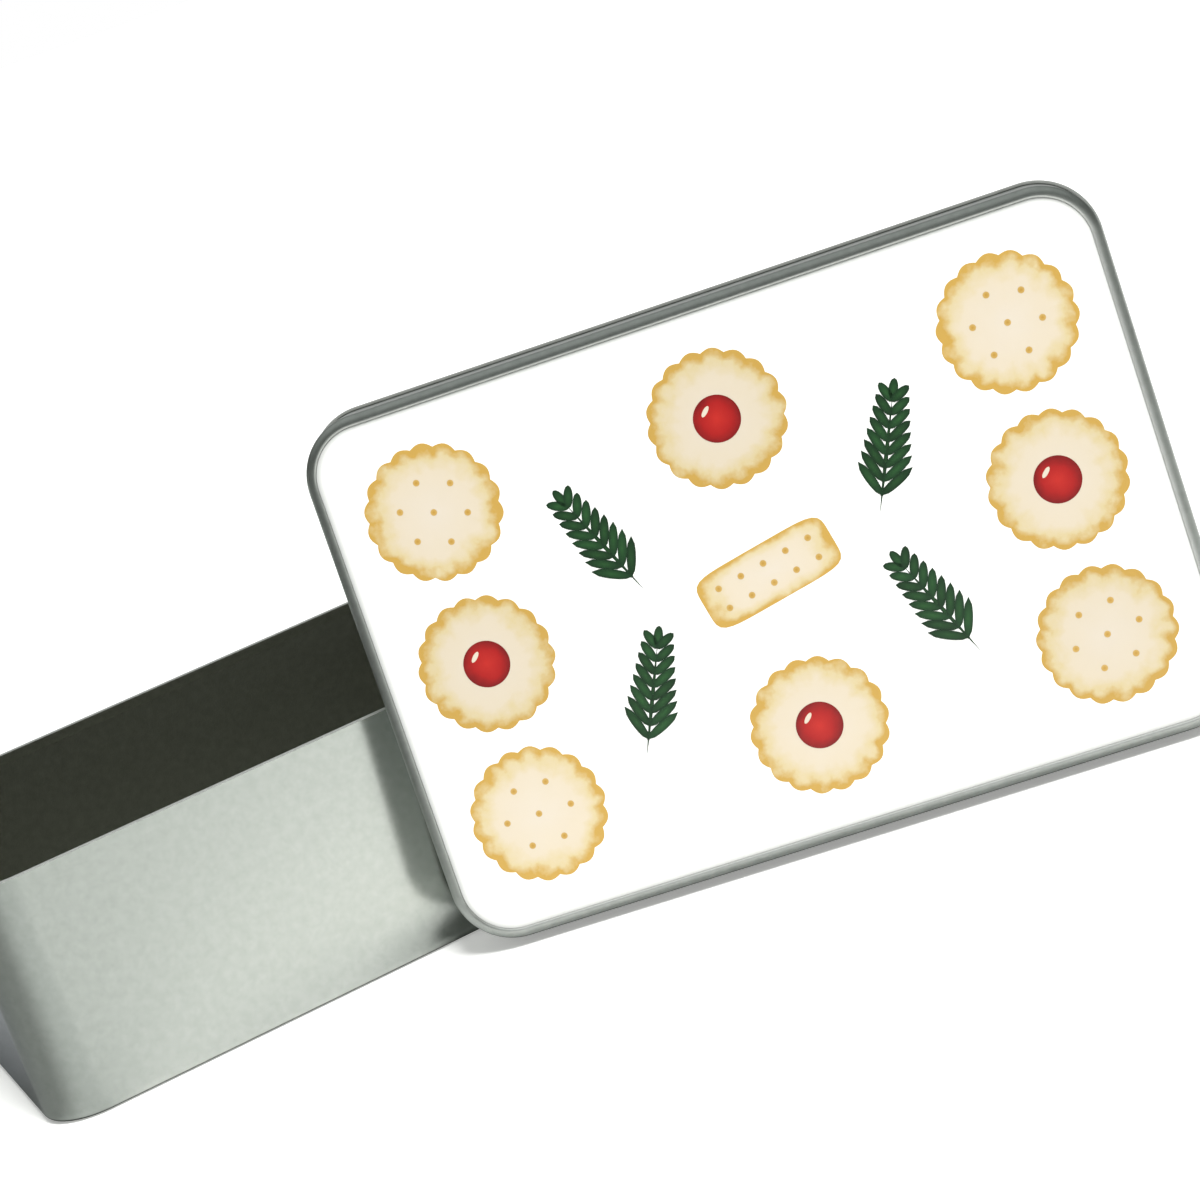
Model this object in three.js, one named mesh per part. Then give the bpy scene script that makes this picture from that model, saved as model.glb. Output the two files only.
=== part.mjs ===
// Rectangular tinplate biscuit tin with a slip-on lid, shown opened: the lid is off and stands on its
// long edge beside the base, leaning back on the base's front rim. Millimetres, +Z up. The origin is
// the centre of the base's underside, X runs along the tin's length and -Y is its front.

import * as THREE from "three";

// Sheet
const sheet = 0.3;

// Base: a drawn tub, measured over its outside
const baseLength = 192;
const baseWidth = 130;
const baseHeight = 62;
const baseCornerRadius = 14;
const footRadius = 2.5; // round between floor and wall, outside
const rimHemGap = 0.3; // the rim is folded inwards and down, this far from the wall
const rimHemDepth = 3; // below the top of the rim
const padCornerRadius = 2.5; // flat field inside the stiffening bead of the floor
const beadBendRadius = 1.5; // middle of the sheet
const beadBendAngle = 45;

// Lid: a shallow drawn cover that slips over the base
const lidSlip = 0.5; // play between base wall and skirt, each side
const lidDepth = 15; // from the rolled edge to the top of the rim
const lidShoulderRadius = 2; // outside of the raised rim, from its crest to the skirt
const lidBrimRadius = 0.6; // the rim's other side, from its crest down to the sunk panel
const lidPanelFillet = 0.4; // middle of the sheet
const edgeRollWidth = 1.2; // the skirt's edge is rolled outwards

// Cover plate: coated sheet fixed in the sunk panel with double-sided tape
const plateThickness = 0.5;
const platePlay = 0.25; // between the plate and the rim, each side
const plateSetback = 0.5; // the rim stands this much above the plate
const tapeThickness = 0.25;
const tapeMargin = 4; // the tape ends this far inside the plate's edge
const seatGap = 0.3; // left between pieces that lie on each other

// How the lid stands beside the base
const lidYaw = THREE.MathUtils.degToRad(-27);
const lidLean = THREE.MathUtils.degToRad(6); // backwards from upright
const lidStandX = 103.8; // middle of the lid, from the middle of the base
const leanGap = 0.3; // between the lid's rolled edge and the base wall

// Facets
const cornerSteps = 8; // in each quarter-round corner of an outline
const bendStep = 30; // largest turn between two points of a bend, degrees
const rollTurn = 285; // a rolled edge stops short of its own wall, degrees

// Sizes that follow from the ones above
const lidLength = baseLength + 2 * (lidSlip + sheet);
const lidWidth = baseWidth + 2 * (lidSlip + sheet);
const lidCornerRadius = baseCornerRadius + lidSlip + sheet;
const lidRimWidth = lidBrimRadius + lidShoulderRadius;
const lidPanelDrop = seatGap + tapeThickness + seatGap + plateThickness + plateSetback;
const plateInset = lidRimWidth + platePlay;
const rimHemRadius = (rimHemGap + sheet) / 2; // middle of the sheet
const edgeRollRadius = (edgeRollWidth - sheet) / 2;

// A sheet's cross-section, walked from the panel outwards along the middle of the sheet. x is measured
// from the piece's outline, negative inside it, and y is the height. Each call adds points of both faces.
class SheetWalk {
  constructor(x, y) {
    this.at = new THREE.Vector2(x, y);
    this.heading = 0; // radians, 0 outwards and a quarter turn up
    this.left = []; // the face on the left of the walk
    this.right = [];
    this.mark();
  }

  mark() {
    const across = new THREE.Vector2(-Math.sin(this.heading), Math.cos(this.heading));
    this.left.push(this.at.clone().addScaledVector(across, sheet / 2));
    this.right.push(this.at.clone().addScaledVector(across, -sheet / 2));
  }

  run(length) {
    this.at.x += length * Math.cos(this.heading);
    this.at.y += length * Math.sin(this.heading);
    this.mark();
    return this;
  }

  // Turns left by a positive angle in degrees, right by a negative one.
  bend(degrees, radius) {
    const steps = Math.ceil(Math.abs(degrees) / bendStep);
    const turn = THREE.MathUtils.degToRad(degrees) / steps;
    const chord = 2 * radius * Math.sin(Math.abs(turn) / 2);
    for (let step = 0; step < steps; step++) {
      const along = this.heading + turn / 2;
      this.at.x += chord * Math.cos(along);
      this.at.y += chord * Math.sin(along);
      this.heading += turn;
      this.mark();
    }
    return this;
  }
}

// Points of a rectangle's quarter-round corners, as the corner's centre and the way out from it.
function outlineStations(length, width, cornerRadius) {
  const stations = [];
  for (let corner = 0; corner < 4; corner++) {
    for (let step = 0; step <= cornerSteps; step++) {
      const angle = ((corner + step / cornerSteps) * Math.PI) / 2;
      const middle = ((corner + 0.5) * Math.PI) / 2;
      stations.push({
        centreX: Math.sign(Math.cos(middle)) * (length / 2 - cornerRadius),
        centreY: Math.sign(Math.sin(middle)) * (width / 2 - cornerRadius),
        outX: Math.cos(angle),
        outY: Math.sin(angle),
      });
    }
  }
  return stations;
}

// Carries a section once round a rounded rectangle and closes its panel with a flat face on each side.
function drawnShell(length, width, cornerRadius, walk) {
  const stations = outlineStations(length, width, cornerRadius);
  const section = [...walk.right, ...walk.left.toReversed()];
  const rows = section.length;
  const positions = [];
  for (const station of stations) {
    for (const point of section) {
      const reach = cornerRadius + point.x;
      positions.push(station.centreX + reach * station.outX, station.centreY + reach * station.outY, point.y);
    }
  }
  const index = [];
  for (let column = 0; column < stations.length; column++) {
    const here = column * rows;
    const next = ((column + 1) % stations.length) * rows;
    for (let row = 0; row < rows - 1; row++) {
      index.push(here + row, next + row, next + row + 1);
      index.push(here + row, next + row + 1, here + row + 1);
    }
  }
  const panel = stations.map((station) => {
    const reach = cornerRadius + section[0].x;
    return new THREE.Vector2(station.centreX + reach * station.outX, station.centreY + reach * station.outY);
  });
  for (const [a, b, c] of THREE.ShapeUtils.triangulateShape(panel, [])) {
    index.push(c * rows, b * rows, a * rows);
    index.push((a + 1) * rows - 1, (b + 1) * rows - 1, (c + 1) * rows - 1);
  }
  const geometry = new THREE.BufferGeometry();
  geometry.setAttribute("position", new THREE.Float32BufferAttribute(positions, 3));
  geometry.setIndex(index);
  geometry.computeVertexNormals();
  return geometry;
}

// A flat sheet with the lid's outline, drawn in by an inset.
function flatSheet(inset, thickness) {
  const outline = outlineStations(lidLength, lidWidth, lidCornerRadius).map((station) => {
    const reach = lidCornerRadius - inset;
    return new THREE.Vector2(station.centreX + reach * station.outX, station.centreY + reach * station.outY);
  });
  return new THREE.ExtrudeGeometry(new THREE.Shape(outline), { depth: thickness, bevelEnabled: false });
}

function tinplate(color, roughness) {
  return new THREE.MeshStandardMaterial({ color, roughness, metalness: 1 });
}

// Base: flat floor with a pressed bead, round foot, upright wall, rim folded inwards.
function makeBase() {
  const footBend = footRadius - sheet / 2;
  const floorMiddle = sheet / 2;
  const walk = new SheetWalk(padCornerRadius - baseCornerRadius, floorMiddle);
  walk.bend(beadBendAngle, beadBendRadius);
  walk.bend(-2 * beadBendAngle, beadBendRadius);
  walk.bend(beadBendAngle, beadBendRadius);
  walk.run(-footRadius - walk.at.x);
  walk.bend(90, footBend);
  const hemStart = baseHeight - sheet / 2 - rimHemRadius;
  walk.run(hemStart - walk.at.y);
  walk.bend(180, rimHemRadius);
  walk.run(hemStart - baseHeight + rimHemDepth);
  const geometry = drawnShell(baseLength, baseWidth, baseCornerRadius, walk);
  const base = new THREE.Mesh(geometry, tinplate("#c5ccc5", 0.38));
  base.name = "base_shell";
  return base;
}

// Lid, face up with its rolled edge on the ground: sunk panel, raised rim with a round shoulder, skirt,
// edge rolled outwards.
function makeLidShell() {
  const brimStart = lidDepth - lidBrimRadius;
  const panelMiddle = lidDepth - lidPanelDrop - sheet / 2;
  const panelBend = Math.min(lidPanelFillet, brimStart - panelMiddle);
  const walk = new SheetWalk(sheet / 2 - lidRimWidth - panelBend, panelMiddle);
  walk.bend(90, panelBend);
  walk.run(brimStart - walk.at.y);
  walk.bend(-90, lidBrimRadius - sheet / 2);
  walk.bend(-90, lidShoulderRadius - sheet / 2);
  walk.run(walk.at.y - edgeRollWidth / 2);
  walk.bend(rollTurn, edgeRollRadius);
  const geometry = drawnShell(lidLength, lidWidth, lidCornerRadius, walk);
  const shell = new THREE.Mesh(geometry, tinplate("#a9afaa", 0.34));
  shell.name = "lid_shell";
  return shell;
}

function makeTape() {
  const material = new THREE.MeshStandardMaterial({ color: "#e9e6dc", roughness: 0.8, metalness: 0 });
  const tape = new THREE.Mesh(flatSheet(plateInset + tapeMargin, tapeThickness), material);
  tape.name = "plate_tape";
  tape.position.z = lidDepth - lidPanelDrop + seatGap;
  return tape;
}

function makePlate() {
  const material = new THREE.MeshStandardMaterial({ color: "#fbfbf8", roughness: 0.25, metalness: 0 });
  const plate = new THREE.Mesh(flatSheet(plateInset, plateThickness), material);
  plate.name = "cover_plate";
  plate.position.z = lidDepth - plateSetback - plateThickness;
  return plate;
}

// Stands the lid up: its long lower edge on the ground, its left end against the base's front wall.
function standLid(lid) {
  const rollReach = edgeRollRadius - sheet / 2; // from the skirt's outside to the roll's centre
  const rollOutside = edgeRollWidth / 2;
  lid.rotation.set(Math.PI / 2 - lidLean, 0, lidYaw, "ZXY");
  const lowerRoll = new THREE.Vector3(0, -lidWidth / 2 - rollReach, rollOutside).applyEuler(lid.rotation);
  const leftRoll = new THREE.Vector3(-lidLength / 2 - rollReach, 0, rollOutside).applyEuler(lid.rotation);
  const upLid = new THREE.Vector3(0, 1, 0).applyEuler(lid.rotation);
  const standZ = rollOutside - lowerRoll.z;
  const touchHeight = baseHeight - rimHemRadius - sheet / 2;
  const climb = (touchHeight - standZ - leftRoll.z) / upLid.z;
  const backReach = leftRoll.y + climb * upLid.y + rollOutside;
  lid.position.set(lidStandX, -baseWidth / 2 - leanGap - backReach, standZ);
}

const lid = new THREE.Group();
lid.add(makeLidShell(), makeTape(), makePlate());
standLid(lid);

const tin = new THREE.Group();
tin.add(makeBase(), lid);

export default tin;
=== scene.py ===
from math import atan2, ceil, cos, pi, radians, sin

import bmesh
import bpy
from mathutils import Matrix, Vector


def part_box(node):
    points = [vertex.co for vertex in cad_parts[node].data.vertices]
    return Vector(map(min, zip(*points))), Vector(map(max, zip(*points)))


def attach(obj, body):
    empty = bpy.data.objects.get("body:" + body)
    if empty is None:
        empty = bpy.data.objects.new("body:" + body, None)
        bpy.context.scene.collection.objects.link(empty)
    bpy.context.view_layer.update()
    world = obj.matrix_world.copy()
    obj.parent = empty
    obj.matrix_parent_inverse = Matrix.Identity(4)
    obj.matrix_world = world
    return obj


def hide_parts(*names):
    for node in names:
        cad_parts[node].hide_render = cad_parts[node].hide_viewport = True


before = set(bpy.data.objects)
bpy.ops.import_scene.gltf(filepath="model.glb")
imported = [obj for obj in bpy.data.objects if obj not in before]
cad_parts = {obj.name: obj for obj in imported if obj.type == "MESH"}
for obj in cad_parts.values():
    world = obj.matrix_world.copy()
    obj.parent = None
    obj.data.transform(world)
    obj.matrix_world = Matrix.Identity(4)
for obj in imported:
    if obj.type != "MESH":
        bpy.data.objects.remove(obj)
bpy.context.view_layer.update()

mm = 0.001
sharpAngle = radians(35)  # edges of flat sheets that stay crisp
scene = bpy.context.scene


# sRGB hex to the linear colour that shader sockets take
def hexColour(text):
    parts = [int(text[i:i + 2], 16) / 255 for i in (1, 3, 5)]
    return tuple(c / 12.92 if c <= 0.04045 else ((c + 0.055) / 1.055) ** 2.4 for c in parts) + (1.0,)


# one node with its settings and inputs; an input is a value, or (node, output name) for a link
def addNode(tree, kind, settings=None, **inputs):
    node = tree.nodes.new(kind)
    for name, value in (settings or {}).items():
        setattr(node, name, value)
    for name, value in inputs.items():
        socket = node.inputs[int(name[1:])] if name[1:].isdigit() else node.inputs[name.replace("_", " ")]
        if isinstance(value, tuple) and hasattr(value[0], "outputs"):
            tree.links.new(value[0].outputs[value[1]], socket)
        else:
            socket.default_value = value
    return node


# an empty material with its shader and its coordinates
def startMaterial(name, **shaderInputs):
    material = bpy.data.materials.new(name)
    material.use_nodes = True
    tree = material.node_tree
    tree.nodes.clear()
    shader = addNode(tree, "ShaderNodeBsdfPrincipled", None, **shaderInputs)
    addNode(tree, "ShaderNodeOutputMaterial", None, Surface=(shader, "BSDF"))
    coords = addNode(tree, "ShaderNodeTexCoord")
    return material, tree, shader, coords


# colour stops go into a ramp as (place, hex)
def setStops(ramp, stops):
    bar = ramp.color_ramp
    while len(bar.elements) < len(stops):
        bar.elements.new(0.5)
    for element, (place, colour) in zip(bar.elements, stops):
        element.position = place
        element.color = hexColour(colour)


def finishPiece(bm, name, materials, body, replaced=()):
    mesh = bpy.data.meshes.new(name)
    bm.to_mesh(mesh)
    bm.free()
    mesh.polygons.foreach_set("use_smooth", [True] * len(mesh.polygons))
    for material in materials:
        mesh.materials.append(material)
    piece = bpy.data.objects.new(name, mesh)
    scene.collection.objects.link(piece)
    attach(piece, body)
    if replaced:
        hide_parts(*replaced)
    return piece


# Camera: the photograph's angle, with its roll to the left
camera = {
    "azimuth": -19.37,
    "elevation": 13.32,
    "roll": -19.75,
    "lens": 90.57,
    "distance": 0.7996,
    "aim": (0.0919, -0.0191, 0.0528),
}


def makeCamera(settings):
    az = radians(settings["azimuth"])
    el = radians(settings["elevation"])
    back = Vector((sin(az) * cos(el), -cos(az) * cos(el), sin(el)))
    data = bpy.data.cameras.new("photoCamera")
    data.lens = settings["lens"]
    data.sensor_width = 36
    data.clip_start = 0.01
    data.clip_end = 100
    cam = bpy.data.objects.new("photoCamera", data)
    scene.collection.objects.link(cam)
    cam.location = Vector(settings["aim"]) + back * settings["distance"]
    turn = (-back).to_track_quat("-Z", "Y").to_matrix()
    cam.rotation_euler = (turn @ Matrix.Rotation(radians(settings["roll"]), 3, "Z")).to_euler()
    scene.camera = cam


makeCamera(camera)
print("camera set")


# Tinplate: steel sheet with a thin tin coat, rolled to a satin finish and drawn to shape. The eye sees
# a grey mirror, blurred, with faint clouds in the tin and a fine grain.
tinplate = {
    "colour": "#BFC3BE",
    "cloudColour": "#B5BAB4",
    "cloudMm": 2.4,
    "grainMm": 0.9,  # the sheet's real grain is finer; drawn this coarse so that it shows
    "grainBump": (0.1, 0.02 * mm),  # strength and height
    "waveMm": 45,
    "waveBump": (0.15, 1.0 * mm),
    "roughness": (0.15, 0.23),
    "metallic": 1.0,
}


def makeTinplate(name, look, coatColour=None):
    material, tree, shader, coords = startMaterial(name, Metallic=look["metallic"])
    cloud = addNode(tree, "ShaderNodeTexNoise", None, Vector=(coords, "Object"),
                    Scale=1 / (look["cloudMm"] * mm), Detail=3.0, Roughness=0.6)
    tone = addNode(tree, "ShaderNodeValToRGB", None, Fac=(cloud, "Fac"))
    setStops(tone, [(0.3, look["cloudColour"]), (0.7, look["colour"])])
    grain = addNode(tree, "ShaderNodeTexNoise", None, Vector=(coords, "Object"),
                    Scale=1 / (look["grainMm"] * mm), Detail=2.0)
    rough = addNode(tree, "ShaderNodeMapRange", None, Value=(grain, "Fac"), To_Min=look["roughness"][0],
                    To_Max=look["roughness"][1])
    wave = addNode(tree, "ShaderNodeTexNoise", None, Vector=(coords, "Object"),
                   Scale=1 / (look["waveMm"] * mm), Detail=1.0)
    waveBump = addNode(tree, "ShaderNodeBump", None, Height=(wave, "Fac"), Strength=look["waveBump"][0],
                       Distance=look["waveBump"][1])
    grainBump = addNode(tree, "ShaderNodeBump", None, Height=(grain, "Fac"), Normal=(waveBump, "Normal"),
                        Strength=look["grainBump"][0], Distance=look["grainBump"][1])
    tree.links.new(tone.outputs["Color"], shader.inputs["Base Color"])
    tree.links.new(rough.outputs["Result"], shader.inputs["Roughness"])
    tree.links.new(grainBump.outputs["Normal"], shader.inputs["Normal"])
    if coatColour:  # paint over the metal, as thick as the mesh's coat attribute says
        coat = addNode(tree, "ShaderNodeAttribute", {"attribute_name": "coat"})
        covered = addNode(tree, "ShaderNodeMix", {"data_type": "RGBA"}, i0=(coat, "Fac"), i6=(tone, "Color"),
                          i7=hexColour(coatColour))  # sockets 6, 7 and output 2 are the colours
        bare = addNode(tree, "ShaderNodeMath", {"operation": "SUBTRACT"}, i0=1.0, i1=(coat, "Fac"))
        tree.links.new(covered.outputs[2], shader.inputs["Base Color"])
        tree.links.new(bare.outputs["Value"], shader.inputs["Metallic"])
    return material


satinTinplate = makeTinplate("satin tinplate", tinplate)
# The same sheet in other finishes. The lid's is duller and a shade darker, and its rim is mixed with white
# next to the plate, fading outwards. Folds and rolls are rubbed, so they look pale and mirror nothing. The
# inside of the base wears a thin clear lacquer, which blurs it and warms it a little
dullLook = {**tinplate, "colour": "#ACB0AC", "cloudColour": "#A0A4A0", "roughness": (0.38, 0.48)}
dullTinplate = makeTinplate("dull tinplate", dullLook)
edgedTinplate = makeTinplate("dull tinplate with a white edge", dullLook, "#FCFCFA")
rubbedLook = {
    **tinplate,
    "colour": "#D2D4D0",
    "cloudColour": "#C6C8C4",
    "roughness": (0.7, 0.8),
    "metallic": 0.75,
}
rubbedTinplate = makeTinplate("rubbed tinplate", rubbedLook)
rolledTinplate = makeTinplate("rubbed dull tinplate", {
    **rubbedLook, "colour": "#C4C6C2", "cloudColour": "#B8BAB6"})
innerTinplate = makeTinplate("lacquered tinplate", {
    **tinplate, "colour": "#C0C1B8", "cloudColour": "#B4B5AC", "roughness": (0.28, 0.36)})


# A sheet's section is walked along the middle of the sheet, in the XZ plane: x outwards, z up
class SheetWalk:
    def __init__(self, bm, x, z):
        self.bm = bm
        self.heading = 0.0
        self.vert = bm.verts.new((x, 0, z))

    def run(self, length):
        made = bmesh.ops.extrude_vert_indiv(self.bm, verts=[self.vert])
        self.vert = made["verts"][0]
        self.vert.co += Vector((cos(self.heading), 0, sin(self.heading))) * length

    def bend(self, degrees, radius, step=12):
        turn = radians(degrees)
        side = 1 if degrees > 0 else -1
        centre = self.vert.co + Vector((-sin(self.heading), 0, cos(self.heading))) * radius * side
        made = bmesh.ops.spin(self.bm, geom=[self.vert], cent=centre, axis=(0, -1, 0), angle=turn,
                              steps=ceil(abs(degrees) / step), use_duplicate=False)
        self.vert = next(v for v in made["geom_last"] if isinstance(v, bmesh.types.BMVert))
        self.heading += turn


# carries a section round a rounded rectangle: along each side, then round the corner after it
def sweepRound(bm, length, width, cornerRadius, cornerSteps=20):
    bmesh.ops.translate(bm, verts=bm.verts, vec=(length / 2, cornerRadius - width / 2, 0))
    last = bm.verts[:] + bm.edges[:]
    for side in range(4):
        along = Matrix.Rotation(side * pi / 2, 3, "Z") @ Vector((0, 1, 0))
        reach = (width if side % 2 == 0 else length) - 2 * cornerRadius
        made = bmesh.ops.extrude_edge_only(bm, edges=[e for e in last if isinstance(e, bmesh.types.BMEdge)])
        moved = [v for v in made["geom"] if isinstance(v, bmesh.types.BMVert)]
        bmesh.ops.translate(bm, verts=moved, vec=along * reach)
        edges = [e for e in made["geom"] if isinstance(e, bmesh.types.BMEdge)]
        corner = Vector(((1, 1), (-1, 1), (-1, -1), (1, -1))[side] + (0,))
        centre = Vector((corner.x * (length / 2 - cornerRadius), corner.y * (width / 2 - cornerRadius), 0))
        made = bmesh.ops.spin(bm, geom=moved + edges, cent=centre, axis=(0, 0, 1), angle=pi / 2,
                              steps=cornerSteps, use_duplicate=False)
        last = made["geom_last"]
    bmesh.ops.remove_doubles(bm, verts=bm.verts, dist=0.01 * mm)


# how far a point near the edge lies inside a rounded rectangle
def insideOutline(point, length, width, cornerRadius):
    beyondX = max(0, abs(point.x) - length / 2 + cornerRadius)
    beyondY = max(0, abs(point.y) - width / 2 + cornerRadius)
    return cornerRadius - Vector((beyondX, beyondY)).length


# closes the flat panel inside the sweep and sets the faces outwards
def closePanel(bm):
    rim = [e for e in bm.edges if e.is_boundary]
    inside = min(rim, key=lambda e: e.verts[0].co.xy.length)
    height = inside.verts[0].co.z
    loop = [e for e in rim if all(abs(v.co.z - height) < 0.001 * mm for v in e.verts)]
    panel = bmesh.ops.contextual_create(bm, geom=loop)["faces"][0]
    bmesh.ops.recalc_face_normals(bm, faces=bm.faces)
    return panel


def addSheetThickness(piece, thickness, innerMaterial=0):
    solidify = piece.modifiers.new("sheet", "SOLIDIFY")
    solidify.thickness = thickness
    solidify.offset = 0
    solidify.use_even_offset = True
    solidify.material_offset = innerMaterial
    flat = piece.modifiers.new("flat walls", "WEIGHTED_NORMAL")  # keeps the shading of bends off the walls
    flat.mode = "FACE_AREA"
    flat.weight = 50


# Base: drawn tub, floor with a pressed bead, rim folded inwards
baseLow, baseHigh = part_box("base_shell")
base = {
    "length": baseHigh.x - baseLow.x,
    "width": baseHigh.y - baseLow.y,
    "height": baseHigh.z - baseLow.z,
    "sheet": 0.3 * mm,
    "cornerRadius": 14 * mm,
    "footRadius": 2.5 * mm,
    "hemRadius": 0.3 * mm,
    "hemDepth": 3 * mm,
    "padCornerRadius": 2.5 * mm,
    "beadRadius": 1.5 * mm,
    "beadAngle": 45,
}


def makeBase(size):
    half = size["sheet"] / 2
    hemStart = size["height"] - half - size["hemRadius"]
    bm = bmesh.new()
    walk = SheetWalk(bm, size["padCornerRadius"] - size["cornerRadius"], half)
    walk.bend(size["beadAngle"], size["beadRadius"])
    walk.bend(-2 * size["beadAngle"], size["beadRadius"])
    walk.bend(size["beadAngle"], size["beadRadius"])
    walk.run(-size["footRadius"] - walk.vert.co.x)
    walk.bend(90, size["footRadius"] - half)
    walk.run(hemStart - walk.vert.co.z)
    walk.bend(180, size["hemRadius"])
    walk.run(hemStart - size["height"] + size["hemDepth"])
    sweepRound(bm, size["length"], size["width"], size["cornerRadius"])
    panel = closePanel(bm)
    if panel.normal.z > 0:
        bmesh.ops.reverse_faces(bm, faces=bm.faces)
    outline = (size["length"], size["width"], size["cornerRadius"])
    for face in bm.faces:
        lowest = min(v.co.z for v in face.verts)
        inside = min(insideOutline(v.co, *outline) for v in face.verts)
        if lowest > hemStart - 0.01 * mm:  # the fold itself
            face.material_index = 2
        elif lowest > size["height"] / 2 and inside > size["hemRadius"]:  # the part turned down inside
            face.material_index = 1
    materials = [satinTinplate, innerTinplate, rubbedTinplate]
    piece = finishPiece(bm, "tinBase", materials, "base", ["base_shell"])
    addSheetThickness(piece, size["sheet"], 1)


makeBase(base)
print("base made")


# Lid: its own frame has x along it, y across it and z out of its face, from the plate's middle
lid = {
    "slip": 0.5 * mm,
    "sheet": 0.3 * mm,
    "depth": 15 * mm,
    "shoulderRadius": 2 * mm,
    "brimRadius": 0.6 * mm,
    "panelFillet": 0.4 * mm,
    "panelDrop": 1.85 * mm,
    "edgeRollWidth": 1.2 * mm,
    "rollTurn": 285,
    "rubbedWidth": 1.6 * mm,  # skirt beside the roll, dulled with it
    "coatFade": 1.3 * mm,  # the white on the rim runs out over this much of it
    "coatCover": 0.42,
    "yaw": -27,
    "lean": 6,
}
plate = {
    "thickness": 0.5 * mm,
    "inset": 2.65 * mm,  # looks seated: the drawn plate has a play of 0.25 mm
    "setback": 0.5 * mm,
    "edgeRound": 0.08 * mm,
    "edgeFade": 2.2 * mm,  # painted shade: the white darkens over this width to the plate's edge
    "edgeShade": 0.58,
    "whiteShift": (0.35 * mm, -0.2 * mm, 0),  # the white lies this far off the lid's middle
}
tape = {
    "thickness": 0.25 * mm,
    "inset": 6.85 * mm,
    "gap": 0.3 * mm,
}
lidLength = base["length"] + 2 * (lid["slip"] + lid["sheet"])
lidWidth = base["width"] + 2 * (lid["slip"] + lid["sheet"])
lidCorner = base["cornerRadius"] + lid["slip"] + lid["sheet"]
plateLow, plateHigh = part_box("cover_plate")
plateMiddle = (plateLow + plateHigh) / 2
lidTurn = Matrix.Rotation(radians(lid["yaw"]), 4, "Z") @ Matrix.Rotation(radians(90 - lid["lean"]), 4, "X")
lidPlace = Matrix.Translation(plateMiddle) @ lidTurn
plateTop = plate["thickness"] / 2  # heights in the lid's frame
rimTop = plateTop + plate["setback"]
whiteShift = Vector(plate["whiteShift"])


def makeLid(size):
    half = size["sheet"] / 2
    rimWidth = size["brimRadius"] + size["shoulderRadius"]
    bm = bmesh.new()
    walk = SheetWalk(bm, half - rimWidth - size["panelFillet"], rimTop - size["panelDrop"] - half)
    walk.bend(90, size["panelFillet"])
    walk.run(rimTop - size["brimRadius"] - walk.vert.co.z)
    walk.bend(-90, size["brimRadius"] - half)
    walk.bend(-90, size["shoulderRadius"] - half)
    rollMiddle = rimTop - size["depth"] + size["edgeRollWidth"] / 2
    walk.run(walk.vert.co.z - rollMiddle - size["rubbedWidth"])
    walk.run(size["rubbedWidth"])
    walk.bend(size["rollTurn"], size["edgeRollWidth"] / 2 - half)
    sweepRound(bm, lidLength, lidWidth, lidCorner)
    panel = closePanel(bm)
    if panel.normal.z < 0:
        bmesh.ops.reverse_faces(bm, faces=bm.faces)
    coat = bm.verts.layers.float.new("coat")
    for vert in bm.verts:
        if vert.co.z > rimTop - size["panelDrop"]:
            inwards = rimWidth - insideOutline(vert.co - whiteShift, lidLength, lidWidth, lidCorner)
            vert[coat] = size["coatCover"] * (1 - min(1, max(0, inwards / size["coatFade"]))) ** 2
    for face in bm.faces:
        if all(vert.co.z < rollMiddle + size["rubbedWidth"] + size["sheet"] for vert in face.verts):
            face.material_index = 2
    bmesh.ops.transform(bm, matrix=lidPlace, verts=bm.verts)
    materials = [edgedTinplate, dullTinplate, rolledTinplate]
    piece = finishPiece(bm, "tinLid", materials, "lid", ["lid_shell"])
    addSheetThickness(piece, size["sheet"], 1)


makeLid(lid)
print("lid made")


# a flat sheet with the lid's outline, drawn in by an inset, its middle at a height in the lid's frame
def flatSheet(inset, thickness, height, edgeRound=0, edgeFade=0, edgeShade=0):
    bm = bmesh.new()
    bmesh.ops.create_cube(bm, size=1)
    bmesh.ops.scale(bm, vec=(lidLength - 2 * inset, lidWidth - 2 * inset, thickness), verts=bm.verts)
    upright = [e for e in bm.edges if abs(e.verts[0].co.z - e.verts[1].co.z) > thickness / 2]
    bmesh.ops.bevel(bm, geom=upright, offset=lidCorner - inset, affect="EDGES", segments=20, profile=0.5,
                    material=-1)
    if edgeRound:
        top = [e for e in bm.edges if all(v.co.z > 0 for v in e.verts) and e.calc_face_angle(0) > 1]
        bmesh.ops.bevel(bm, geom=top, offset=edgeRound, affect="EDGES", segments=2, profile=0.5, material=-1)
    # painted shade: the white darkens towards the plate's edge, where it sits under the rim
    if edgeFade:
        bare = bm.verts.layers.float.new("bare")
        for vert in bm.verts:
            outwards = inset - insideOutline(vert.co - whiteShift, lidLength, lidWidth, lidCorner)
            vert[bare] = edgeShade * (1 + outwards / edgeFade)
        face = max(bm.faces, key=lambda f: f.calc_area() * f.normal.z)
        bmesh.ops.inset_region(bm, faces=[face], thickness=edgeFade, use_even_offset=True)
        for vert in face.verts:
            vert[bare] = 0
    bmesh.ops.translate(bm, verts=bm.verts, vec=(0, 0, height))
    bmesh.ops.transform(bm, matrix=lidPlace, verts=bm.verts)
    return bm


# White polyester coat on aluminium, baked: smooth and glossy, with a slight ripple. Towards the
# plate's edge it darkens to grey: painted shade where the plate sits under the rim
whiteCoat = {
    "colour": "#FCFCFA",
    "edgeShadeColour": "#8E918E",
    "rippleMm": 2.5,
    "rippleBump": (0.05, 0.05 * mm),  # strength and height
    "roughness": 0.22,
}


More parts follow.
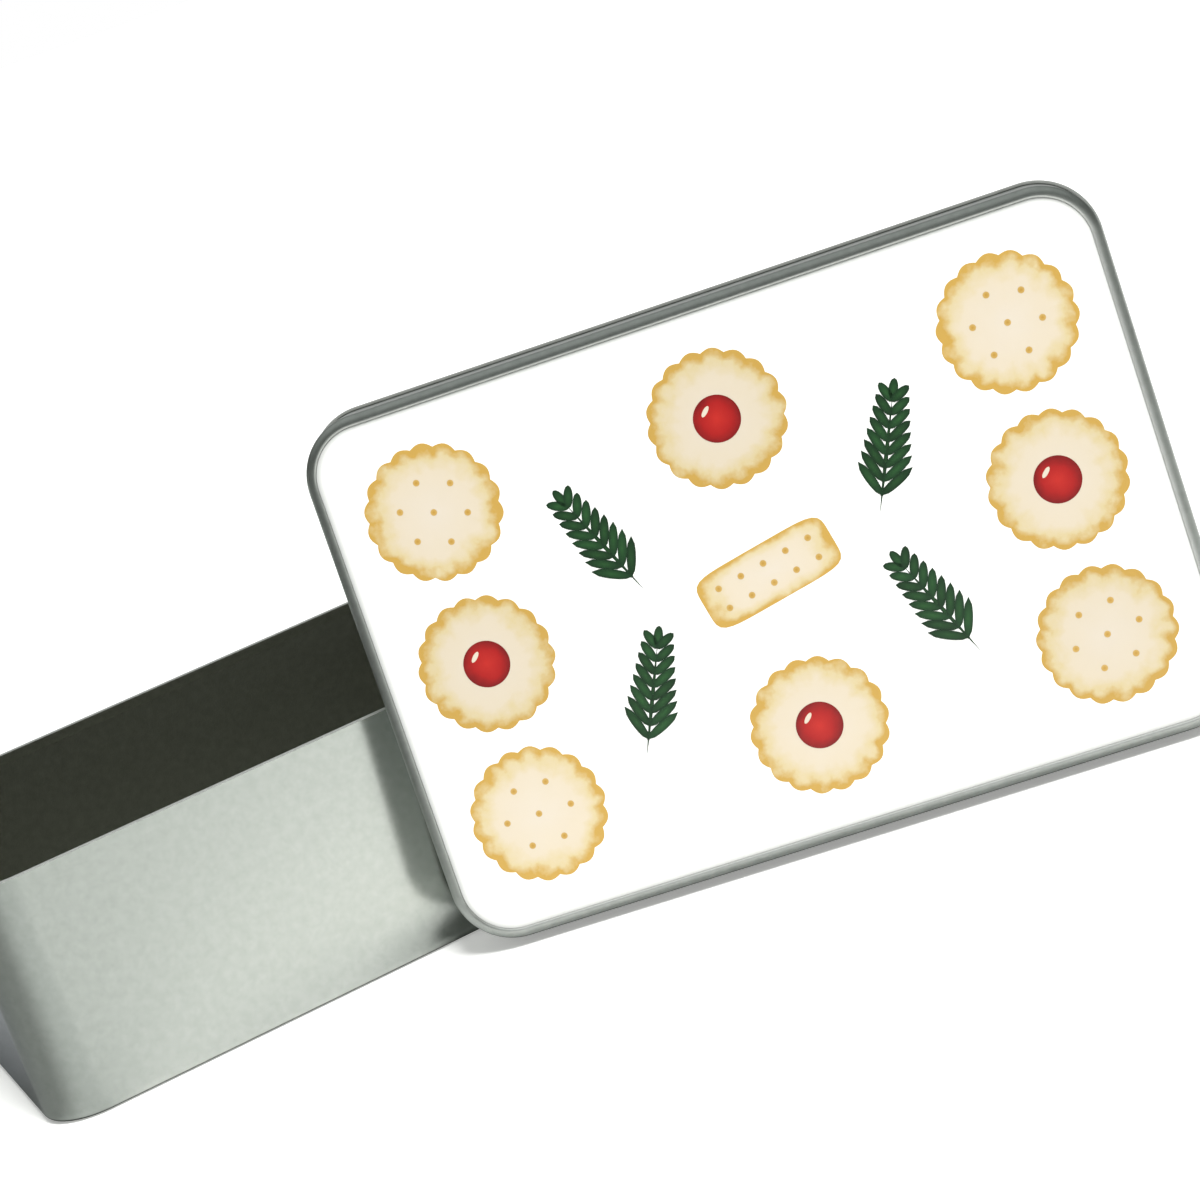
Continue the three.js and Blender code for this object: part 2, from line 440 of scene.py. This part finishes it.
def makeWhiteCoat(look):
    material, tree, shader, coords = startMaterial(
        "white baked coating", Roughness=look["roughness"], IOR=1.5)
    # the bare attribute carries the painted shade at the plate's edge
    bare = addNode(tree, "ShaderNodeAttribute", {"attribute_name": "bare"})
    tone = addNode(tree, "ShaderNodeMix", {"data_type": "RGBA"}, i0=(bare, "Fac"),
                   i6=hexColour(look["colour"]), i7=hexColour(look["edgeShadeColour"]))
    tree.links.new(tone.outputs[2], shader.inputs["Base Color"])
    ripple = addNode(tree, "ShaderNodeTexNoise", None, Vector=(coords, "Object"),
                     Scale=1 / (look["rippleMm"] * mm), Detail=2.0)
    bump = addNode(tree, "ShaderNodeBump", None, Height=(ripple, "Fac"), Strength=look["rippleBump"][0],
                   Distance=look["rippleBump"][1])
    tree.links.new(bump.outputs["Normal"], shader.inputs["Normal"])
    return material


def makePlate(size):
    bm = flatSheet(size["inset"], size["thickness"], 0, size["edgeRound"], size["edgeFade"], size["edgeShade"])
    coat = makeWhiteCoat(whiteCoat)
    piece = finishPiece(bm, "coverPlate", [coat], "lid", ["cover_plate"])
    piece.data.set_sharp_from_angle(angle=sharpAngle)


makePlate(plate)
print("plate made")


# Double-sided tape: cream tissue soaked in adhesive, dull, with a fibrous tone
tissue = {
    "tones": [(0.3, "#DDD8C8"), (0.7, "#ECE8DC")],
    "fibreMm": 1.5,
    "roughness": 0.75,
}


def makeTissue(look):
    material, tree, shader, coords = startMaterial("tissue tape", Roughness=look["roughness"], IOR=1.47)
    fibre = addNode(tree, "ShaderNodeTexNoise", None, Vector=(coords, "Object"),
                    Scale=1 / (look["fibreMm"] * mm), Detail=4.0)
    tone = addNode(tree, "ShaderNodeValToRGB", None, Fac=(fibre, "Fac"))
    setStops(tone, look["tones"])
    tree.links.new(tone.outputs["Color"], shader.inputs["Base Color"])
    return material


def makeTape(size):
    height = -plateTop - size["gap"] - size["thickness"] / 2
    bm = flatSheet(size["inset"], size["thickness"], height)
    piece = finishPiece(bm, "plateTape", [makeTissue(tissue)], "lid", ["plate_tape"])
    piece.data.set_sharp_from_angle(angle=sharpAngle)


makeTape(tape)
print("tape made")


# Printed ink, a thin glossy film with soft brushed shades: u runs from a motif's middle (0) to its edge (1),
# v is a shade of its own
inks = {
    "biscuit": [(0.0, "#D4C9B9"), (0.62, "#D3C6B0"), (0.82, "#CEBD92"), (0.95, "#BF9949")],
    "golden": [(0.0, "#B28733"), (1.0, "#C2A15E")],
    "red": [(0.0, "#B5221B"), (0.6, "#A11312"), (1.0, "#740A0E")],
    "green": [(0.0, "#224B24"), (0.6, "#183B1D"), (1.0, "#102E17")],
    "brushMm": 4,
    "brushShift": 0.12,  # how far the brush moves a shade along u
    "roughness": 0.3,
}


def makeInk(name, look):
    material, tree, shader, coords = startMaterial(name + " ink", Roughness=look["roughness"], IOR=1.5)
    split = addNode(tree, "ShaderNodeSeparateXYZ", None, Vector=(coords, "UV"))
    brush = addNode(tree, "ShaderNodeTexNoise", None, Vector=(coords, "Object"),
                    Scale=1 / (look["brushMm"] * mm), Detail=4.0)
    shift = addNode(tree, "ShaderNodeMapRange", None, Value=(brush, "Fac"), From_Min=0.25, From_Max=0.75,
                    To_Min=-look["brushShift"], To_Max=look["brushShift"])
    moved = addNode(tree, "ShaderNodeMath", {"operation": "ADD"}, i0=(split, "X"), i1=(shift, "Result"))
    ramp = addNode(tree, "ShaderNodeValToRGB", None, Fac=(moved, "Value"))
    setStops(ramp, look[name])
    shade = addNode(tree, "ShaderNodeHueSaturation", None, Value=(split, "Y"), Color=(ramp, "Color"))
    tree.links.new(shade.outputs["Color"], shader.inputs["Base Color"])
    return material


# a thin slab with an outline in polar form, turned and put in its place on the plate
def addMotif(bm, outline, x, y, turn=0, layer=0, shade=1.0, segments=96, spread=1.0):
    uv = bm.loops.layers.uv.verify()
    made = bmesh.ops.create_circle(bm, cap_ends=True, cap_tris=True, segments=segments, radius=1)
    verts = made["verts"]
    faces = {f for v in verts for f in v.link_faces}
    for face in faces:
        for loop in face.loops:
            loop[uv].uv = (min(1, loop.vert.co.length) * spread, shade)
    for vert in verts:
        if vert.co.length > 0.5:
            angle = atan2(vert.co.y, vert.co.x)
            vert.co = vert.co.normalized() * outline(angle)
    film = bmesh.ops.extrude_face_region(bm, geom=list(faces))
    raised = [v for v in film["geom"] if isinstance(v, bmesh.types.BMVert)]
    bmesh.ops.translate(bm, verts=raised, vec=(0, 0, printed["film"]))
    place = Matrix.Translation((x, y, plateTop - printed["sink"] + layer * printed["step"]))
    bmesh.ops.transform(bm, matrix=place @ Matrix.Rotation(turn, 4, "Z"), verts=verts + raised)


def finishPrint(bm, name, material):
    bmesh.ops.recalc_face_normals(bm, faces=bm.faces)
    bmesh.ops.transform(bm, matrix=lidPlace, verts=bm.verts)
    piece = finishPiece(bm, name, [material], "lid")
    piece.data.set_sharp_from_angle(angle=sharpAngle)


# Print: shortbread rounds, jam rings and a finger in rows, with fir sprigs between
printed = {
    "film": 0.06 * mm,
    "sink": 0.02 * mm,
    "step": 0.03 * mm,
    "columns": (-70 * mm, 0, 70 * mm),
    "rows": (-38 * mm, 0, 38 * mm),
    "biscuitTurn": 17,  # degrees, so that no two lie alike
    "biscuitShade": 0.03,
    "roundRadius": 16.5 * mm,
    "flutes": 18,
    "fluteDepth": 0.06,  # share of the radius
    "holeRadius": 0.8 * mm,
    "holeRing": 8 * mm,
    "jamRadius": 5.6 * mm,
    "shineHalf": (1.5 * mm, 0.55 * mm),
    "shinePlace": (-2.1 * mm, 2.4 * mm),
    "fingerHalf": (17 * mm, 7 * mm),
    "fingerSquareness": 6,
    "fingerTurn": 12,
    "fingerHoles": (6 * mm, 2.6 * mm),  # along and across
    "sprigColumns": (-35 * mm, 35 * mm),
    "sprigRows": (-19 * mm, 19 * mm),
    "sprigLength": 28 * mm,
    "sprigLean": 24,
    "stemHalfWidth": 0.5 * mm,
    "needleHalf": (5 * mm, 1.1 * mm),
    "needlePairs": 8,
    "needleTurn": 42,
    "needleSpan": (0.12, 0.78),  # first pair and the way to the last, shares of the sprig
    "needleTaper": 0.45,
}


def fluted(radius, flutes, depth):
    return lambda angle: radius * (1 - depth + depth * abs(cos(angle * flutes / 2)))


def ellipse(a, b, power=2):
    return lambda angle: (abs(cos(angle) / a) ** power + abs(sin(angle) / b) ** power) ** (-1 / power)


def makeBiscuits(size):
    biscuits = bmesh.new()
    holes = bmesh.new()
    jam = bmesh.new()
    roundOutline = fluted(size["roundRadius"], size["flutes"], size["fluteDepth"])
    fingerOutline = ellipse(*size["fingerHalf"], size["fingerSquareness"])
    holeOutline = ellipse(size["holeRadius"], size["holeRadius"])
    jamOutline = ellipse(size["jamRadius"], size["jamRadius"])
    fingerTurn = radians(size["fingerTurn"])
    holeStep, holeSide = size["fingerHoles"]
    shineX, shineY = size["shinePlace"]
    for i, x in enumerate(size["columns"]):
        for j, y in enumerate(size["rows"]):
            turn = radians(size["biscuitTurn"] * (2 * i + 3 * j))
            shade = 1 - size["biscuitShade"] * ((i + 2 * j) % 3)
            if (i, j) == (1, 1):  # the finger lies in the middle
                addMotif(biscuits, fingerOutline, x, y, fingerTurn, 0, shade)
                for k in range(-2, 3):
                    for side in (-1, 1):
                        at = Matrix.Rotation(fingerTurn, 3, "Z") @ Vector((k * holeStep, side * holeSide, 0))
                        addMotif(holes, holeOutline, x + at.x, y + at.y, 0, 1, 1, 16)
                continue
            addMotif(biscuits, roundOutline, x, y, turn, 0, shade, 144)
            if (i + j) % 2 == 0:
                for k in range(7):
                    reach = size["holeRing"] if k else 0
                    angle = turn + k * pi / 3
                    addMotif(holes, holeOutline, x + reach * cos(angle), y + reach * sin(angle), 0, 1, 1, 16)
            else:
                addMotif(jam, jamOutline, x, y, 0, 1, 1, 48)
                addMotif(biscuits, ellipse(*size["shineHalf"]), x + shineX, y + shineY, pi / 4, 2, 1, 24, 0.5)
    finishPrint(biscuits, "biscuitPrint", makeInk("biscuit", inks))
    finishPrint(holes, "holePrint", makeInk("golden", inks))
    finishPrint(jam, "jamPrint", makeInk("red", inks))


def makeSprigs(size):
    bm = bmesh.new()
    length, width = size["needleHalf"]
    firstPair, pairSpan = size["needleSpan"]
    stemOutline = ellipse(size["sprigLength"] * 0.5, size["stemHalfWidth"])
    for i, x in enumerate(size["sprigColumns"]):
        for j, y in enumerate(size["sprigRows"]):
            lean = radians(90 + (size["sprigLean"] if (i + j) % 2 else -size["sprigLean"]))
            along = Vector((cos(lean), sin(lean)))
            foot = Vector((x, y)) - along * size["sprigLength"] / 2
            middle = foot + along * size["sprigLength"] * 0.45
            addMotif(bm, stemOutline, middle.x, middle.y, lean, 0, 0.8, 24)
            for k in range(size["needlePairs"]):
                share = k / (size["needlePairs"] - 1)
                scale = 1 - size["needleTaper"] * share
                for side in (-1, 1):
                    turn = lean + side * radians(size["needleTurn"])
                    out = Vector((cos(turn), sin(turn))) * length * scale * 0.9  # its foot meets the stem
                    at = foot + along * (firstPair + pairSpan * share) * size["sprigLength"] + out
                    shade = 0.85 + 0.3 * ((3 * k + side + j) % 4) / 3
                    layer = 1 + (k + (side > 0)) % 2
                    addMotif(bm, ellipse(length * scale, width), at.x, at.y, turn, layer, shade, 24)
            tip = foot + along * size["sprigLength"]
            addMotif(bm, ellipse(length * 0.5, width), tip.x, tip.y, lean, 1, 1, 24)
    finishPrint(bm, "sprigPrint", makeInk("green", inks))


makeBiscuits(printed)
makeSprigs(printed)
print("print made")


# Stage: pale floor, one large soft key from high in front, and a studio that the metal mirrors: grey all
# round, white behind the tin and bright overhead. The camera itself sees white
stage = {
    "floorRadius": 60.0,
    "floorColour": "#F2F2F0",
    "floorGlow": 0.35,  # a light table: keeps the shadows pale
    "studioColour": "#5E625F",
    "ceilingColour": "#D0D4D2",
    "ceilingFade": (0.35, 0.9),  # heights, from level (0) to overhead (1)
    "backColour": "#FFFFFF",
    "backDirection": (0.33, 0.94, 0.0),
    "backFade": (0.8, 0.95),  # cosines of the angle from that direction
    "backHeight": (0.45, 0.2),
    "keyAzimuth": 10,
    "keyElevation": 60,
    "keyAngle": 20,
    "keyStrength": 3.86,
    "surround": [(-8, -0.082, -8, 0.8), (-0.082, 8, -8, -0.051)],  # x from and to, y from and to
    "surroundLift": 0.0002,
    "tableMiddle": (0.05, -0.1, 0),
    "tableReach": (0.4, 0.8),
    "leftCorner": (-0.082, -0.051, 0),
    "nearTones": [(180, "#F2F2F0"), (165, "#86888C"), (145, "#767878"), (80, "#868886"), (20, "#C6C8C6"),
                  (-45, "#F2F2F0")],
    "farTones": [(180, "#F2F2F0"), (165, "#4E504E"), (100, "#4E504E"), (50, "#5E605E"), (0, "#868886")],
    # painted shadow along the lid's foot, seen in the metal's reflections: where it lies, its reach and
    # colour
    "lidFoot": (0.1, -0.117, 0),
    "lidFootReach": (0.14, 0.035, 1),
    "lidFootFade": (0.55, 1.0),
    "lidFootShadowColour": "#AEB0AE",
}


def makeFloor(look):
    bm = bmesh.new()
    bmesh.ops.create_circle(bm, cap_ends=True, segments=96, radius=look["floorRadius"])
    mesh = bpy.data.meshes.new("floor")
    bm.to_mesh(mesh)
    bm.free()
    colour = hexColour(look["floorColour"])
    painted = startMaterial("pale floor", Base_Color=colour, Roughness=0.8, Emission_Color=colour,
                            Emission_Strength=look["floorGlow"])
    mesh.materials.append(painted[0])
    floor = bpy.data.objects.new("floor", mesh)
    scene.collection.objects.link(floor)


# a sheet round the lit table, seen only in reflections: painted reflections that give the metal its dark
# tones. These change with the distance from the tin and with the way round from the base's left corner, in
# degrees from the front to the left, and a painted shadow darkens it along the lid's foot
def makeSurround(look):
    bm = bmesh.new()
    for x0, x1, y0, y1 in look["surround"]:
        made = bmesh.ops.create_grid(bm, x_segments=1, y_segments=1, size=0.5)
        bmesh.ops.scale(bm, vec=(x1 - x0, y1 - y0, 1), verts=made["verts"])
        middle = ((x0 + x1) / 2, (y0 + y1) / 2, look["surroundLift"])
        bmesh.ops.translate(bm, vec=middle, verts=made["verts"])
    mesh = bpy.data.meshes.new("surround")
    bm.to_mesh(mesh)
    bm.free()
    material, tree, shader, coords = startMaterial("painted reflection sheet", Roughness=0.9)
    apart = addNode(tree, "ShaderNodeVectorMath", {"operation": "DISTANCE"}, i0=(coords, "Object"),
                    i1=look["tableMiddle"])
    far = addNode(tree, "ShaderNodeMapRange", {"interpolation_type": "SMOOTHSTEP"}, Value=(apart, "Value"),
                  From_Min=look["tableReach"][0], From_Max=look["tableReach"][1])
    turned = addNode(tree, "ShaderNodeMapping", None, Vector=(coords, "Object"), Location=look["leftCorner"],
                     Rotation=(0, 0, pi))
    wayRound = addNode(tree, "ShaderNodeTexGradient", {"gradient_type": "RADIAL"}, Vector=(turned, "Vector"))

    def tonesRound(tones):
        ramp = addNode(tree, "ShaderNodeValToRGB", None, Fac=(wayRound, "Fac"))
        setStops(ramp, [(0.75 - degrees / 360, tone) for degrees, tone in tones])
        return ramp

    # painted reflection tones near the tin, by the way round from the base's left corner
    aside = tonesRound(look["nearTones"])
    aside.color_ramp.interpolation = "EASE"
    # painted shadow: the sheet is darker along the lid's foot
    along = addNode(tree, "ShaderNodeMapping", {"vector_type": "TEXTURE"}, Vector=(coords, "Object"),
                    Location=look["lidFoot"], Rotation=(0, 0, radians(lid["yaw"])),
                    Scale=look["lidFootReach"])
    reach = addNode(tree, "ShaderNodeVectorMath", {"operation": "LENGTH"}, i0=(along, "Vector"))
    clear = addNode(tree, "ShaderNodeMapRange", {"interpolation_type": "SMOOTHSTEP"}, Value=(reach, "Value"),
                    From_Min=look["lidFootFade"][0], From_Max=look["lidFootFade"][1])
    near = addNode(tree, "ShaderNodeMix", {"data_type": "RGBA"}, i0=(clear, "Result"),
                   i6=hexColour(look["lidFootShadowColour"]), i7=(aside, "Color"))
    distant = tonesRound(look["farTones"])
    tone = addNode(tree, "ShaderNodeMix", {"data_type": "RGBA"}, i0=(far, "Result"), i6=(near, 2),
                   i7=(distant, "Color"))
    tree.links.new(tone.outputs[2], shader.inputs["Base Color"])
    mesh.materials.append(material)
    reflectionSheet = bpy.data.objects.new("surround", mesh)
    scene.collection.objects.link(reflectionSheet)
    reflectionSheet.visible_camera = False
    reflectionSheet.visible_diffuse = False
    reflectionSheet.visible_shadow = False


def makeKey(look):
    az = radians(look["keyAzimuth"])
    el = radians(look["keyElevation"])
    back = Vector((sin(az) * cos(el), -cos(az) * cos(el), sin(el)))
    data = bpy.data.lights.new("keyLight", "SUN")
    data.angle = radians(look["keyAngle"])
    data.energy = look["keyStrength"]
    lamp = bpy.data.objects.new("keyLight", data)
    scene.collection.objects.link(lamp)
    lamp.location = back * 2
    lamp.visible_glossy = False  # the metal mirrors the studio, not the lamp
    lamp.rotation_euler = (-back).to_track_quat("-Z", "Y").to_euler()


def makeWorld(look):
    world = bpy.data.worlds.new("studio")
    world.use_nodes = True
    tree = world.node_tree
    background = tree.nodes["Background"]
    coords = addNode(tree, "ShaderNodeTexCoord")
    split = addNode(tree, "ShaderNodeSeparateXYZ", None, Vector=(coords, "Generated"))
    height = addNode(tree, "ShaderNodeValToRGB", None, Fac=(split, "Z"))
    greyTop, ceilingStart = look["ceilingFade"]
    setStops(height, [(0.0, look["studioColour"]), (greyTop, look["studioColour"]),
                      (ceilingStart, look["ceilingColour"])])
    facing = addNode(tree, "ShaderNodeVectorMath", {"operation": "DOT_PRODUCT"}, i0=(coords, "Generated"),
                     i1=look["backDirection"])
    behind = addNode(tree, "ShaderNodeMapRange", {"interpolation_type": "SMOOTHSTEP"},
                     Value=(facing, "Value"), From_Min=look["backFade"][0], From_Max=look["backFade"][1])
    lowBand = addNode(tree, "ShaderNodeMapRange", {"interpolation_type": "SMOOTHSTEP"}, Value=(split, "Z"),
                      From_Min=look["backHeight"][0], From_Max=look["backHeight"][1])
    strip = addNode(tree, "ShaderNodeMath", {"operation": "MULTIPLY"}, i0=(behind, "Result"),
                    i1=(lowBand, "Result"))
    mixed = addNode(tree, "ShaderNodeMix", {"data_type": "RGBA"}, i0=(strip, "Value"), i6=(height, "Color"),
                    i7=hexColour(look["backColour"]))
    ray = addNode(tree, "ShaderNodeLightPath")
    seen = addNode(tree, "ShaderNodeMix", {"data_type": "RGBA"}, i0=(ray, "Is Camera Ray"), i6=(mixed, 2),
                   i7=hexColour(look["backColour"]))
    tree.links.new(seen.outputs[2], background.inputs["Color"])
    scene.world = world


makeFloor(stage)
makeSurround(stage)
makeKey(stage)
makeWorld(stage)
scene.view_settings.view_transform = "Standard"
print("stage made")
